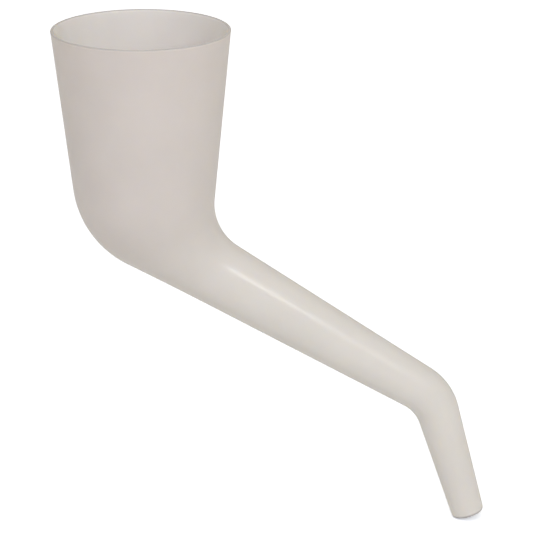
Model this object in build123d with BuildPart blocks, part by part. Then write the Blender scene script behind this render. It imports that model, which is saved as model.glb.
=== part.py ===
"""Open urine director: a wide cup, an elbow, a long narrowing tube and a turned-down spout in one hollow moulding.

Millimetres, +Z up. The origin is the centre of the mouth's rim. The part is symmetric about the plane y = 0, and
the tube runs away from the cup towards +X. Two lines in that plane bound the part: the under line goes down the
back of the cup, round the heel and along the tube's underside, and the over line goes down the front of the cup,
round the throat and along the top of the tube. Every section is a ring of even wall that spans the two lines.
"""

from build123d import *
import os

# Mouth and wall
MOUTH_DIAMETER = 85.0
WALL = 1.5

# Square to the plane of the two lines
SIDEWAYS = Vector(0, 1, 0)

# Corners of the two lines before they are rounded
HEEL_CORNER = Vector(-30.3, 0, -102.4)
THROAT_CORNER = Vector(32.8, 0, -99.1)
UNDER_BEND_CORNER = Vector(131.7, 0, -191.2)
OVER_BEND_CORNER = Vector(150.0, 0, -176.8)

# Radii of the four roundings
HEEL_RADIUS = 48.0
THROAT_RADIUS = 26.0
UNDER_BEND_RADIUS = 17.0
OVER_BEND_RADIUS = 31.5

# Outlet at the end of the spout, square to the spout
OUTLET_CENTRE = Vector(158.8, 0, -245.0)
OUTLET_DIAMETER = 16.0

# The heel turns while the throat is still straight, and the throat turns while the tube's underside is straight
THROAT_LEAD = 5.0  # length of the over line, above the throat, that faces the heel
UNDER_LAG = 42.0  # length of the under line, past the heel, that faces the throat

# Both rims have their edges rounded, which leaves a narrow flat ring
LIP_RADIUS = 0.45

# Steps between rings along the cup, heel, throat, tube, bend and spout: closest where the part turns
RING_STEPS = (8, 8, 7, 10, 6, 6)

mouth_side = Vector(MOUTH_DIAMETER / 2, 0, 0)
spout_axis = (OUTLET_CENTRE - (UNDER_BEND_CORNER + OVER_BEND_CORNER) / 2).normalized()
outlet_side = spout_axis.cross(SIDEWAYS) * OUTLET_DIAMETER / 2

with BuildLine(Plane.XZ) as under_line:
    FilletPolyline(
        -mouth_side,
        HEEL_CORNER,
        UNDER_BEND_CORNER,
        OUTLET_CENTRE - outlet_side,
        radius=(HEEL_RADIUS, UNDER_BEND_RADIUS),
    )

with BuildLine(Plane.XZ) as over_line:
    FilletPolyline(
        mouth_side,
        THROAT_CORNER,
        OVER_BEND_CORNER,
        OUTLET_CENTRE + outlet_side,
        radius=(THROAT_RADIUS, OVER_BEND_RADIUS),
    )


def run_ends(line):
    """Distances along a line at which its straight runs and arcs end."""
    ends = []
    for edge in line.edges().sort_by(line.wires()[0]):
        ends.append(edge.length + sum(ends[-1:]))
    return ends


# Places that face each other: mouth, cup's end, heel's end, throat's end, bend's start, bend's end and outlet
cup_under, heel_end, bend_under, bend_under_end, under_length = run_ends(under_line)
throat_start, throat_end, bend_over, bend_over_end, over_length = run_ends(over_line)
under_places = [0.0, cup_under, heel_end, heel_end + UNDER_LAG, bend_under, bend_under_end, under_length]
over_places = [0.0, throat_start - THROAT_LEAD, throat_start, throat_end, bend_over, bend_over_end, over_length]


def point_on(line, places, stretch, share):
    """Point on a line at a share of the way along one of its stretches."""
    distance = places[stretch] + (places[stretch + 1] - places[stretch]) * share
    return line.wires()[0].position_at(distance, position_mode=PositionMode.LENGTH)


def half_ring(stretch, share):
    """Half of the wall's section, on the side where y is positive or zero."""
    under = point_on(under_line, under_places, stretch, share)
    over = point_on(over_line, over_places, stretch, share)
    across = over - under
    outer = across.length / 2
    inner = outer - WALL
    with BuildSketch(Plane(origin=(under + over) / 2, x_dir=across, z_dir=across.cross(SIDEWAYS))) as section:
        with BuildLine():
            CenterArc((0, 0), outer, 0, 180)
            Line((-outer, 0), (-inner, 0))
            CenterArc((0, 0), inner, 0, 180)
            Line((inner, 0), (outer, 0))
        make_face()
    return section.sketch


# One skin runs through every half ring, and its mirror image closes the passage
half_rings = []
for stretch, steps in enumerate(RING_STEPS):
    half_rings += [half_ring(stretch, step / steps) for step in range(steps)]
half_rings.append(half_ring(len(RING_STEPS) - 1, 1.0))

with BuildPart() as funnel_body:
    loft(half_rings)
    mirror(about=Plane.XZ)
    fillet(funnel_body.faces().filter_by(GeomType.PLANE).edges(), LIP_RADIUS)

os.makedirs("parts", exist_ok=True)
funnel_body.part.label = "funnel_body"
export_step(funnel_body.part, "parts/funnel_body.step")
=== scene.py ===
"""Looks of an open urine director: one hollow moulding of milky polyethylene over a plain pale floor.

Metres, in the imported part's frame: +Z up, +X towards the spout, and the origin at the centre of the mouth.
The front view looks along +Y.
"""

import math

import bpy
import numpy as np
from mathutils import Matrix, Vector


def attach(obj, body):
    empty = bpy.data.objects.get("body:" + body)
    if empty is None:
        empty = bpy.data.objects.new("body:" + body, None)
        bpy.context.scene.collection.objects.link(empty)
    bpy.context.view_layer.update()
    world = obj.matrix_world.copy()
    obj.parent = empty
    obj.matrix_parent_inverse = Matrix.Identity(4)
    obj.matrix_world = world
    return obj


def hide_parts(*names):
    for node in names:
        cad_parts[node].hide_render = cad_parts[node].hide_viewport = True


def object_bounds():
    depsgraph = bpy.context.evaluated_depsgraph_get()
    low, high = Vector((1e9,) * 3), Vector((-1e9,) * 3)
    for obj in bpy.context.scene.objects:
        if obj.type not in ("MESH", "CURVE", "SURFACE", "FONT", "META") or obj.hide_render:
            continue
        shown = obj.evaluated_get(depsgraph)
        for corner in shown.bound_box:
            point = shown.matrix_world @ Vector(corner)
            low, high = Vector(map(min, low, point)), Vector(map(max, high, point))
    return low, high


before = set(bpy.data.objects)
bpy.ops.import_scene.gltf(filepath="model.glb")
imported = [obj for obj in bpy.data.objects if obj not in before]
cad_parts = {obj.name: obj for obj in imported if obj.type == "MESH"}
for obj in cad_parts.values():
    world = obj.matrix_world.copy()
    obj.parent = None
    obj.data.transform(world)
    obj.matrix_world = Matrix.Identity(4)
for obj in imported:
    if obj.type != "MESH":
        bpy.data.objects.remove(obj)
cad_low, cad_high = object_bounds()

MM = 0.001

# Mouth and wall
MOUTH_DIAMETER = 85.0 * MM
WALL = 1.5 * MM

# Corners of the under and over lines in the plane y = 0, as (x, z), with the radius of each rounding
HEEL = (-30.3 * MM, -102.4 * MM, 48.0 * MM)
THROAT = (32.8 * MM, -99.1 * MM, 26.0 * MM)
UNDER_BEND = (131.7 * MM, -191.2 * MM, 17.0 * MM)
OVER_BEND = (150.0 * MM, -176.8 * MM, 31.5 * MM)

# Outlet at the end of the spout, square to the spout
OUTLET_CENTRE = np.array((158.8 * MM, -245.0 * MM))
OUTLET_DIAMETER = 16.0 * MM

# The heel turns before the throat does, and the throat turns beside a straight stretch of the underside
THROAT_LEAD = 5.0 * MM
UNDER_LAG = 42.0 * MM

# Skin: the spacing of its rings, the stretch over which their course is eased, and the points round a ring
RING_SPACING = 1.6 * MM
RING_EASING = 9.0 * MM
POINTS_AROUND = 128
ARC_STEPS = 64
MERGE_DISTANCE = 0.01 * MM

# Rounded lips: how far each is drawn out past the end of the even wall, and the steps over its round
MOUTH_LIP = 0.7 * MM
OUTLET_LIP = 1.5 * MM
LIP_STEPS = 8

# Studio air: soft light from all round, a little stronger and cooler from the front than from behind
FRONT_AIR_LEVEL = 0.60
BACK_AIR_LEVEL = 0.50
FRONT_AIR_TINT = "FDFBF8"
BACK_AIR_TINT = "FFF8E6"

# Floor: its paint, and the lift towards white that the eye sees but that throws no light on the part
FLOOR_HALF_WIDTH = 12.0
FLOOR_PAINT = "F0F0F0"
FLOOR_LIFT = 0.56
FLOOR_LIFT_TINT = "F4F8FF"

# From the middle of the part's box to the point that the front view is centred on
VIEW_SHIFT = Vector((-2.9, 0.0, 6.3)) * MM


def add_node(tree, kind, links=None, **settings):
    """Adds a node with its settings, and joins or sets its inputs by name or number."""
    node = tree.nodes.new(kind)
    for name, value in settings.items():
        setattr(node, name, value)
    for name, value in (links or {}).items():
        if isinstance(value, bpy.types.NodeSocket):
            tree.links.new(value, node.inputs[name])
        else:
            node.inputs[name].default_value = value
    return node


def linear_colour(hex_value):
    """Linear RGBA from an sRGB hex value."""
    shares = [int(hex_value[i : i + 2], 16) / 255 for i in (0, 2, 4)]
    linear = [s / 12.92 if s <= 0.04045 else ((s + 0.055) / 1.055) ** 2.4 for s in shares]
    return (*linear, 1.0)


# ---------------------------------------------------------------- material


def moulded_low_density_polyethylene():
    """Low-density polyethylene, moulded: a milky warm white that lets light through, under a satin skin.

    The eye gets soft highlights, a wall that glows where light comes through it, faint clouds, and a skin
    that is a little uneven, with a faint parting line in the plane of symmetry. The wall is about 1.5 mm
    thick nearly everywhere, and the tints are matched to how grey or white each place looks, so they hold
    painted light and shade: painted shade greys the cup's outside and most of all the lips, and painted
    light whitens the tube and the spout and most of all the inside.
    """
    # Painted shade and light: the cup's outside is tinted greyer and the tube's outside whiter than one
    # plastic would be under the same light
    cup_painted_shade_tint = linear_colour("D7D1CD")  # outside of the cup, greyish
    tube_painted_light_tint = linear_colour("E1DDD7")  # outside of the tube and the spout, whiter
    # Painted shade: the lips get the greyest tint, against the light that falls on their tops
    lip_painted_shade_tint = linear_colour("BBB7B6")  # on the lips, greyest
    # Painted light: the inside of the passage gets the whitest tint, as if more light came through the wall
    passage_painted_light_tint = linear_colour("EAE7E5")  # inside, whitest
    cup_until = 70.0 * MM  # along the passage, the end of the cup's tint
    tube_from = 170.0 * MM  # along the passage, the start of the tube's tint
    outer_edge, inner_edge = 0.05, 0.85  # shares of the wall between which a lip has its own tint
    cloud_size = 26.0 * MM  # a patch that is a little milkier or clearer
    cloud_dark, cloud_light = 0.98, 1.02  # how far the clouds darken and lighten the tint
    ripple_size = 7.0 * MM  # slow unevenness of the cooled skin
    ripple_height = 0.12 * MM
    ripple_gloss, ripple_satin = 0.28, 0.30  # roughness where the skin is shinier and where it is duller
    grain_size = 2.4 * MM  # satin grain of the mould, coarser than the real 0.1 mm so that it shows
    grain_height = 0.02 * MM
    parting_width = 0.35 * MM  # from the plane of symmetry to each side
    parting_height = 0.08 * MM
    noise_low, noise_high = 0.3, 0.7  # most of what a noise gives lies between these
    material = bpy.data.materials.new("moulded_low_density_polyethylene")
    material.use_nodes = True
    tree = material.node_tree
    tree.nodes.clear()
    place = add_node(tree, "ShaderNodeTexCoord").outputs["Object"]
    clouds = add_node(
        tree,
        "ShaderNodeTexNoise",
        {"Vector": place, "Scale": 1 / cloud_size, "Detail": 3.0, "Roughness": 0.45},
    ).outputs["Fac"]
    run = add_node(tree, "ShaderNodeAttribute", attribute_name="run").outputs["Fac"]
    tube_share = add_node(
        tree,
        "ShaderNodeMapRange",
        {"Value": run, "From Min": cup_until, "From Max": tube_from, "To Min": 0.0, "To Max": 1.0},
        interpolation_type="SMOOTHSTEP",
    ).outputs["Result"]
    # Painted shade on the cup's outside giving way to painted light on the tube's outside along the passage
    outside_painted_light_and_shade = add_node(
        tree,
        "ShaderNodeMix",
        {"Factor": tube_share, "A": cup_painted_shade_tint, "B": tube_painted_light_tint},
        data_type="RGBA",
    ).outputs["Result"]
    depth = add_node(tree, "ShaderNodeAttribute", attribute_name="depth").outputs["Fac"]
    lip = add_node(
        tree,
        "ShaderNodeMapRange",
        {"Value": depth, "From Min": 0.0, "From Max": outer_edge, "To Min": 0.0, "To Max": 1.0},
    ).outputs["Result"]
    # Painted shade on the lips, mixed in by how far into the wall a lip reaches
    with_lip_painted_shade = add_node(
        tree,
        "ShaderNodeMix",
        {"Factor": lip, "A": outside_painted_light_and_shade, "B": lip_painted_shade_tint},
        data_type="RGBA",
    ).outputs["Result"]
    inside = add_node(
        tree,
        "ShaderNodeMapRange",
        {"Value": depth, "From Min": inner_edge, "From Max": 1.0, "To Min": 0.0, "To Max": 1.0},
    ).outputs["Result"]
    # Painted light on the inner skin, mixed in deep in the wall
    with_passage_painted_light = add_node(
        tree,
        "ShaderNodeMix",
        {"Factor": inside, "A": with_lip_painted_shade, "B": passage_painted_light_tint},
        data_type="RGBA",
    ).outputs["Result"]
    cloudiness = add_node(
        tree,
        "ShaderNodeMapRange",
        {
            "Value": clouds,
            "From Min": noise_low,
            "From Max": noise_high,
            "To Min": cloud_dark,
            "To Max": cloud_light,
        },
    ).outputs["Result"]
    tint = add_node(
        tree, "ShaderNodeVectorMath", {0: with_passage_painted_light, "Scale": cloudiness}, operation="SCALE"
    ).outputs["Vector"]
    ripples = add_node(
        tree,
        "ShaderNodeTexNoise",
        {"Vector": place, "Scale": 1 / ripple_size, "Detail": 2.0, "Roughness": 0.5},
    ).outputs["Fac"]
    grain = add_node(
        tree,
        "ShaderNodeTexNoise",
        {"Vector": place, "Scale": 1 / grain_size, "Detail": 2.0, "Roughness": 0.6},
    ).outputs["Fac"]
    gloss = add_node(
        tree,
        "ShaderNodeMapRange",
        {
            "Value": ripples,
            "From Min": noise_low,
            "From Max": noise_high,
            "To Min": ripple_gloss,
            "To Max": ripple_satin,
        },
    ).outputs["Result"]
    sideways = add_node(tree, "ShaderNodeSeparateXYZ", {"Vector": place}).outputs["Y"]
    off_plane = add_node(tree, "ShaderNodeMath", {0: sideways}, operation="ABSOLUTE").outputs[0]
    parting = add_node(
        tree,
        "ShaderNodeMapRange",
        {"Value": off_plane, "From Min": 0.0, "From Max": parting_width, "To Min": 1.0, "To Max": 0.0},
        interpolation_type="SMOOTHSTEP",
    ).outputs["Result"]
    rippled = add_node(
        tree, "ShaderNodeBump", {"Height": ripples, "Strength": 0.35, "Distance": ripple_height}
    ).outputs["Normal"]
    grained = add_node(
        tree,
        "ShaderNodeBump",
        {"Height": grain, "Strength": 0.3, "Distance": grain_height, "Normal": rippled},
    ).outputs["Normal"]
    parted = add_node(
        tree,
        "ShaderNodeBump",
        {"Height": parting, "Strength": 0.5, "Distance": parting_height, "Normal": grained},
    ).outputs["Normal"]
    surface = add_node(
        tree,
        "ShaderNodeBsdfPrincipled",
        {
            "Base Color": tint,
            "Roughness": gloss,
            "IOR": 1.51,
            "Subsurface Weight": 0.5,
            "Subsurface Radius": (1.0, 0.83, 0.56),
            "Subsurface Scale": 2.5 * MM,
            "Normal": parted,
        },
        subsurface_method="RANDOM_WALK",
    )
    add_node(tree, "ShaderNodeOutputMaterial", {"Surface": surface.outputs["BSDF"]})
    return material


# ---------------------------------------------------------------- shape of the moulding


def side_line(start, corners, end):
    """A line with rounded corners in the plane y = 0, and how far along it each arc starts and ends."""
    stops = [np.array(start)] + [np.array(corner[:2]) for corner in corners] + [np.array(end)]
    points, arc_rows = [stops[0]], []
    for before, corner, after, (_, _, radius) in zip(stops, stops[1:], stops[2:], corners):
        arriving = (corner - before) / np.linalg.norm(corner - before)
        leaving = (after - corner) / np.linalg.norm(after - corner)
        turn = math.acos(float(arriving @ leaving))
        reach = radius * math.tan(turn / 2)
        inwards = (leaving - arriving) / np.linalg.norm(leaving - arriving)
        centre = corner + inwards * radius / math.cos(turn / 2)
        first = corner - arriving * reach - centre
        last = corner + leaving * reach - centre
        arc_rows.append(len(points))
        for angle in np.linspace(0.0, turn, ARC_STEPS + 1):
            spoke = (first * math.sin(turn - angle) + last * math.sin(angle)) / math.sin(turn)
            points.append(centre + spoke)
        arc_rows.append(len(points) - 1)
    points = np.array(points + [stops[-1]])
    distances = np.concatenate(([0.0], np.cumsum(np.linalg.norm(np.diff(points, axis=0), axis=1))))
    return points, distances, [distances[row] for row in arc_rows]


def eased(distances, reach):
    """Distances whose course has its corners rounded off over a number of rows to each side."""
    before = 2 * distances[0] - distances[reach:0:-1]
    after = 2 * distances[-1] - distances[-2 : -reach - 2 : -1]
    kernel = np.ones(2 * reach + 1) / (2 * reach + 1)
    return np.convolve(np.concatenate((before, distances, after)), kernel, mode="valid")


def facing_points():
    """Points of the under and the over line that face each other, from the mouth to the outlet."""
    mouth_side = np.array((MOUTH_DIAMETER / 2, 0.0))
    spout_axis = OUTLET_CENTRE - (np.array(UNDER_BEND[:2]) + np.array(OVER_BEND[:2])) / 2
    spout_axis = spout_axis / np.linalg.norm(spout_axis)
    outlet_side = np.array((-spout_axis[1], spout_axis[0])) * OUTLET_DIAMETER / 2
    under, under_run, under_arcs = side_line(-mouth_side, (HEEL, UNDER_BEND), OUTLET_CENTRE - outlet_side)
    over, over_run, over_arcs = side_line(mouth_side, (THROAT, OVER_BEND), OUTLET_CENTRE + outlet_side)
    heel_start, heel_end, under_bend_start, under_bend_end = under_arcs
    throat_start, throat_end, over_bend_start, over_bend_end = over_arcs
    under_places = [0.0, heel_start, heel_end, heel_end + UNDER_LAG]
    under_places += [under_bend_start, under_bend_end, under_run[-1]]
    over_places = [0.0, throat_start - THROAT_LEAD, throat_start, throat_end]
    over_places += [over_bend_start, over_bend_end, over_run[-1]]
    places = (np.array(under_places) + np.array(over_places)) / 2
    ring_count = round(places[-1] / RING_SPACING) + 1
    rings = np.linspace(0.0, places[-1], ring_count)
    reach = round(RING_EASING / RING_SPACING)
    pairs = []
    for line, run, line_places in ((under, under_run, under_places), (over, over_run, over_places)):
        distance = eased(np.interp(rings, places, line_places), reach)
        pairs.append(np.column_stack([np.interp(distance, run, line[:, axis]) for axis in (0, 1)]))
    return pairs


def clear_of_lips(point, centre, along):
    """True for a ring that lies past the first ring of the even wall and before its last one."""
    past_mouth = (point - centre[0]) @ along[0]
    before_outlet = (centre[-1] - point) @ along[-1]
    return past_mouth > RING_SPACING / 2 and before_outlet > RING_SPACING / 2


def ring_guide():
    """Guide for the skin: a point for each ring of the outer skin, outlet lip, inner skin and mouth lip.

    Each point stands at its ring's centre. It holds the half diameter in the plane of symmetry, the
    direction of the passage and the run along it, how deep in the wall the ring lies, and how far it rises
    on a lip.
    """
    under, over = facing_points()
    flat_centre = (under + over) / 2
    flat_across = (over - under) / 2
    count = len(flat_centre)
    centre = np.column_stack((flat_centre[:, 0], np.zeros(count), flat_centre[:, 1]))
    across = np.column_stack((flat_across[:, 0], np.zeros(count), flat_across[:, 1]))
    along = np.cross((0.0, 1.0, 0.0), across)
    along /= np.linalg.norm(along, axis=1)[:, None]
    run = np.concatenate(([0.0], np.cumsum(np.linalg.norm(np.diff(centre, axis=0), axis=1))))
    # The lips take the last stretch at each end, so that the part keeps its length
    centre[0] += along[0] * MOUTH_LIP
    centre[-1] -= along[-1] * OUTLET_LIP
    between = [row for row in range(1, count - 1) if clear_of_lips(centre[row], centre, along)]
    kept = [0] + between + [count - 1]
    turns = np.linspace(0.0, math.pi, LIP_STEPS + 1)[1:-1]
    rows = [(row, 0.0, 0.0) for row in kept]
    rows += [(kept[-1], (1 - math.cos(turn)) / 2, math.sin(turn)) for turn in turns]
    rows += [(row, 1.0, 0.0) for row in reversed(kept)]
    rows += [(kept[0], (1 + math.cos(turn)) / 2, -math.sin(turn)) for turn in turns]
    rows += [(kept[0], 0.0, 0.0)]
    order = [row for row, _, _ in rows]
    guide = bpy.data.meshes.new("ring_guide")
    guide.from_pydata(centre[order].tolist(), [], [])
    for name, kind, field, values in (
        ("across", "FLOAT_VECTOR", "vector", across[order]),
        ("along", "FLOAT_VECTOR", "vector", along[order]),
        ("depth", "FLOAT", "value", np.array([depth for _, depth, _ in rows])),
        ("rise", "FLOAT", "value", np.array([rise for _, _, rise in rows])),
        ("run", "FLOAT", "value", run[order]),
    ):
        attribute = guide.attributes.new(name, kind, "POINT")
        attribute.data.foreach_set(field, values.astype(np.float32).ravel())
    return guide


def ring_skin_tree():
    """Geometry Nodes tree that lays a closed skin over a guide's rings."""
    tree = bpy.data.node_groups.new("ring_skin", "GeometryNodeTree")
    for name, kind in (
        ("Guide", "NodeSocketGeometry"),
        ("Wall", "NodeSocketFloat"),
        ("Mouth lip", "NodeSocketFloat"),
        ("Outlet lip", "NodeSocketFloat"),
        ("Points around", "NodeSocketInt"),
        ("Plastic", "NodeSocketMaterial"),
    ):
        tree.interface.new_socket(name=name, in_out="INPUT", socket_type=kind)
    tree.interface.new_socket(name="Skin", in_out="OUTPUT", socket_type="NodeSocketGeometry")
    given = add_node(tree, "NodeGroupInput").outputs

    # A flat grid holds one line of points for each ring, with the last point on the first
    size = add_node(
        tree, "GeometryNodeAttributeDomainSize", {"Geometry": given["Guide"]}, component="MESH"
    )
    points_in_line = add_node(
        tree, "ShaderNodeMath", {0: given["Points around"], 1: 1.0}, operation="ADD"
    ).outputs[0]
    grid = add_node(
        tree,
        "GeometryNodeMeshGrid",
        {"Vertices X": size.outputs["Point Count"], "Vertices Y": points_in_line},
    ).outputs["Mesh"]
    index = add_node(tree, "GeometryNodeInputIndex").outputs["Index"]
    lines = add_node(
        tree, "ShaderNodeMath", {0: index, 1: points_in_line}, operation="DIVIDE"
    ).outputs[0]
    ring = add_node(tree, "ShaderNodeMath", {0: lines}, operation="FLOOR").outputs[0]
    step = add_node(tree, "ShaderNodeMath", {0: index, 1: points_in_line}, operation="MODULO").outputs[0]
    share = add_node(
        tree, "ShaderNodeMath", {0: step, 1: given["Points around"]}, operation="DIVIDE"
    ).outputs[0]
    angle = add_node(tree, "ShaderNodeMath", {0: share, 1: math.tau}, operation="MULTIPLY").outputs[0]
    cosine = add_node(tree, "ShaderNodeMath", {0: angle}, operation="COSINE").outputs[0]
    sine = add_node(tree, "ShaderNodeMath", {0: angle}, operation="SINE").outputs[0]

    # What the guide says about each ring
    values = {"centre": add_node(tree, "GeometryNodeInputPosition").outputs["Position"]}
    kinds = {"centre": "FLOAT_VECTOR", "across": "FLOAT_VECTOR", "along": "FLOAT_VECTOR"}
    kinds.update({"depth": "FLOAT", "rise": "FLOAT", "run": "FLOAT"})
    for name in ("across", "along", "depth", "rise", "run"):
        values[name] = add_node(
            tree, "GeometryNodeInputNamedAttribute", {"Name": name}, data_type=kinds[name]
        ).outputs["Attribute"]
    said = {}
    for name, value in values.items():
        said[name] = add_node(
            tree,
            "GeometryNodeSampleIndex",
            {"Geometry": given["Guide"], "Value": value, "Index": ring},
            data_type=kinds[name],
            domain="POINT",
        ).outputs["Value"]

    # The inner skin's radius is less by the wall, and a lip goes from the one radius to the other
    outer_radius = add_node(
        tree, "ShaderNodeVectorMath", {0: said["across"]}, operation="LENGTH"
    ).outputs["Value"]
    inset = add_node(
        tree, "ShaderNodeMath", {0: given["Wall"], 1: said["depth"]}, operation="MULTIPLY"
    ).outputs[0]
    radius = add_node(
        tree, "ShaderNodeMath", {0: outer_radius, 1: inset}, operation="SUBTRACT"
    ).outputs[0]
    outwards = add_node(
        tree, "ShaderNodeVectorMath", {0: said["across"]}, operation="NORMALIZE"
    ).outputs["Vector"]
    out = add_node(tree, "ShaderNodeMath", {0: radius, 1: cosine}, operation="MULTIPLY").outputs[0]
    aside = add_node(tree, "ShaderNodeMath", {0: radius, 1: sine}, operation="MULTIPLY").outputs[0]
    at_outlet = add_node(
        tree, "ShaderNodeMath", {0: said["rise"], 1: 0.0}, operation="MAXIMUM"
    ).outputs[0]
    at_mouth = add_node(
        tree, "ShaderNodeMath", {0: said["rise"], 1: 0.0}, operation="MINIMUM"
    ).outputs[0]
    outlet_drawn = add_node(
        tree, "ShaderNodeMath", {0: given["Outlet lip"], 1: at_outlet}, operation="MULTIPLY"
    ).outputs[0]
    drawn = add_node(
        tree,
        "ShaderNodeMath",
        {0: given["Mouth lip"], 1: at_mouth, 2: outlet_drawn},
        operation="MULTIPLY_ADD",
    ).outputs[0]
    out_part = add_node(
        tree, "ShaderNodeVectorMath", {0: outwards, "Scale": out}, operation="SCALE"
    ).outputs[0]
    aside_part = add_node(tree, "ShaderNodeCombineXYZ", {"Y": aside}).outputs[0]
    drawn_part = add_node(
        tree, "ShaderNodeVectorMath", {0: said["along"], "Scale": drawn}, operation="SCALE"
    ).outputs[0]
    on_ring = add_node(
        tree, "ShaderNodeVectorMath", {0: out_part, 1: aside_part}, operation="ADD"
    ).outputs[0]
    from_centre = add_node(
        tree, "ShaderNodeVectorMath", {0: on_ring, 1: drawn_part}, operation="ADD"
    ).outputs[0]
    place = add_node(
        tree, "ShaderNodeVectorMath", {0: said["centre"], 1: from_centre}, operation="ADD"
    ).outputs[0]

    laid = add_node(tree, "GeometryNodeSetPosition", {"Geometry": grid, "Position": place}).outputs[0]
    for name in ("depth", "run"):
        laid = add_node(
            tree,
            "GeometryNodeStoreNamedAttribute",
            {"Geometry": laid, "Name": name, "Value": said[name]},
            data_type="FLOAT",
            domain="POINT",
        ).outputs["Geometry"]
    closed = add_node(
        tree, "GeometryNodeMergeByDistance", {"Geometry": laid, "Distance": MERGE_DISTANCE}
    ).outputs[0]
    smooth = add_node(
        tree, "GeometryNodeSetShadeSmooth", {"Geometry": closed, "Shade Smooth": True}
    ).outputs[0]
    realized = add_node(tree, "GeometryNodeRealizeInstances", {"Geometry": smooth}).outputs[0]
    finished = add_node(
        tree, "GeometryNodeSetMaterial", {"Geometry": realized, "Material": given["Plastic"]}
    ).outputs[0]
    add_node(tree, "NodeGroupOutput", {"Skin": finished})
    return tree


def director_skin(plastic):
    """The whole moulding as one closed mesh."""
    guide = bpy.data.objects.new("director_skin_guide", ring_guide())
    bpy.context.scene.collection.objects.link(guide)
    tree = ring_skin_tree()
    modifier = guide.modifiers.new("ring_skin", "NODES")
    modifier.node_group = tree
    inputs = {
        "Wall": WALL,
        "Mouth lip": MOUTH_LIP,
        "Outlet lip": OUTLET_LIP,
        "Points around": POINTS_AROUND,
        "Plastic": plastic,
    }
    for socket in tree.interface.items_tree:
        if socket.name in inputs:
            modifier[socket.identifier] = inputs[socket.name]
    depsgraph = bpy.context.evaluated_depsgraph_get()
    mesh = bpy.data.meshes.new_from_object(guide.evaluated_get(depsgraph), depsgraph=depsgraph)
    bpy.data.objects.remove(guide)
    mesh.name = "director_skin"
    skin = bpy.data.objects.new("director_skin", mesh)
    bpy.context.scene.collection.objects.link(skin)
    return skin


# ---------------------------------------------------------------- studio


def pale_floor(height):
    """A wide plain floor, matt and nearly white."""
    mesh = bpy.data.meshes.new("floor")
    half = FLOOR_HALF_WIDTH
    corners = [(x, y, height) for x, y in ((-half, -half), (half, -half), (half, half), (-half, half))]
    mesh.from_pydata(corners, [], [(0, 1, 2, 3)])
    paint = bpy.data.materials.new("matt_white_paint")
    paint.use_nodes = True
    tree = paint.node_tree
    tree.nodes.clear()
    white = {"Base Color": linear_colour(FLOOR_PAINT), "Roughness": 0.9, "Specular IOR Level": 0.0}
    glow = {"Emission Color": linear_colour(FLOOR_LIFT_TINT), "Emission Strength": FLOOR_LIFT}
    bounced = add_node(tree, "ShaderNodeBsdfPrincipled", white).outputs["BSDF"]
    seen = add_node(tree, "ShaderNodeBsdfPrincipled", {**white, **glow}).outputs["BSDF"]
    direct = add_node(tree, "ShaderNodeLightPath").outputs["Is Camera Ray"]
    mixed = add_node(tree, "ShaderNodeMixShader", {0: direct, 1: bounced, 2: seen}).outputs[0]
    add_node(tree, "ShaderNodeOutputMaterial", {"Surface": mixed})
    mesh.materials.append(paint)
    floor = bpy.data.objects.new("floor", mesh)
    bpy.context.scene.collection.objects.link(floor)


def softbox(name, centre, azimuth, elevation, distance, size, level, colour):
    """A square soft light that faces the object, at an azimuth from the front and an elevation in degrees.

    Its level is the share of full white that it gives a white sheet that faces it.
    """
    turn, rise = math.radians(azimuth), math.radians(elevation)
    towards = Vector((math.sin(turn) * math.cos(rise), -math.cos(turn) * math.cos(rise), math.sin(rise)))
    data = bpy.data.lights.new(name, "AREA")
    data.size = size
    data.color = linear_colour(colour)[:3]
    data.energy = level * math.pi**2 * distance**2
    light = bpy.data.objects.new(name, data)
    light.location = centre + towards * distance
    light.rotation_euler = (-towards).to_track_quat("-Z", "Y").to_euler()
    bpy.context.scene.collection.objects.link(light)


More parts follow.
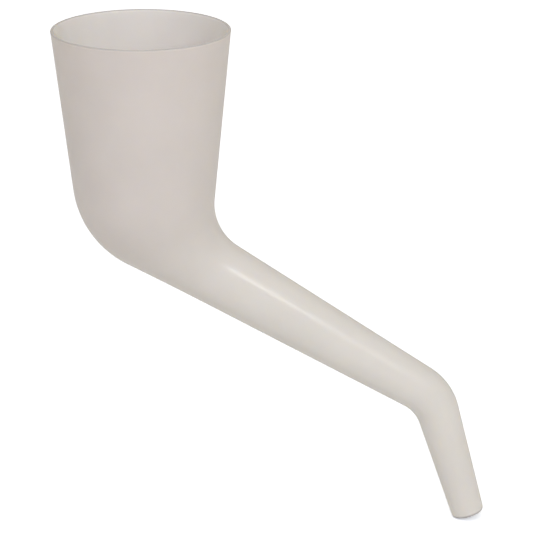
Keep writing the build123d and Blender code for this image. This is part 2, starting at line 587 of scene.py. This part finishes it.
def studio_air():
    """Soft light from all round, in a room that is itself seen in the colour of the floor far away."""
    world = bpy.data.worlds.new("studio_air")
    world.use_nodes = True
    tree = world.node_tree
    tree.nodes.clear()
    front_air = np.array(linear_colour(FRONT_AIR_TINT)) * FRONT_AIR_LEVEL
    back_air = np.array(linear_colour(BACK_AIR_TINT)) * BACK_AIR_LEVEL
    paint = np.array(linear_colour(FLOOR_PAINT))
    lift = np.array(linear_colour(FLOOR_LIFT_TINT)) * FLOOR_LIFT
    far_floor = (*((front_air + back_air) / 2 * paint + lift)[:3], 1.0)
    towards = add_node(tree, "ShaderNodeTexCoord").outputs["Generated"]
    backwards = add_node(tree, "ShaderNodeSeparateXYZ", {"Vector": towards}).outputs["Y"]
    back_share = add_node(
        tree,
        "ShaderNodeMapRange",
        {"Value": backwards, "From Min": -1.0, "From Max": 1.0, "To Min": 0.0, "To Max": 1.0},
    ).outputs["Result"]
    air = add_node(
        tree,
        "ShaderNodeMix",
        {"Factor": back_share, "A": (*front_air[:3], 1.0), "B": (*back_air[:3], 1.0)},
        data_type="RGBA",
    ).outputs["Result"]
    fill = add_node(tree, "ShaderNodeBackground", {"Color": air, "Strength": 1.0}).outputs["Background"]
    seen = add_node(
        tree, "ShaderNodeBackground", {"Color": far_floor, "Strength": 1.0}
    ).outputs["Background"]
    direct = add_node(tree, "ShaderNodeLightPath").outputs["Is Camera Ray"]
    mixed = add_node(tree, "ShaderNodeMixShader", {0: direct, 1: fill, 2: seen}).outputs[0]
    add_node(tree, "ShaderNodeOutputWorld", {"Surface": mixed})
    bpy.context.scene.world = world


def camera(aim, elevation, distance, lens):
    """The view from the front and a little above, centred on a point."""
    rise = math.radians(elevation)
    towards = Vector((0.0, -math.cos(rise), math.sin(rise)))
    data = bpy.data.cameras.new("camera")
    data.sensor_width = 36.0
    data.lens = lens
    data.clip_end = 50.0
    view = bpy.data.objects.new("camera", data)
    view.location = aim + towards * distance
    view.rotation_euler = (-towards).to_track_quat("-Z", "Y").to_euler()
    bpy.context.scene.collection.objects.link(view)
    bpy.context.scene.camera = view


plastic = moulded_low_density_polyethylene()
skin = director_skin(plastic)
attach(skin, "root")
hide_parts("funnel_body")

centre = (cad_low + cad_high) / 2
pale_floor(cad_low.z)
for name, azimuth, elevation, distance, size, level, colour in (
    ("back_softbox", 180.0, 35.0, 3.0, 2.0, 0.06, "FFFFFF"),
    ("front_softbox", -8.0, 46.0, 3.0, 2.0, 0.33, "F4F4FF"),
    ("right_lamp", 37.0, 33.0, 1.5, 0.2, 0.15, "FFFFFF"),  # draws the narrow highlight along the tube
):
    softbox(name, centre, azimuth, elevation, distance, size, level, colour)
studio_air()
camera(centre + VIEW_SHIFT, elevation=18.0, distance=1.398, lens=195.9)
bpy.context.scene.view_settings.view_transform = "Standard"
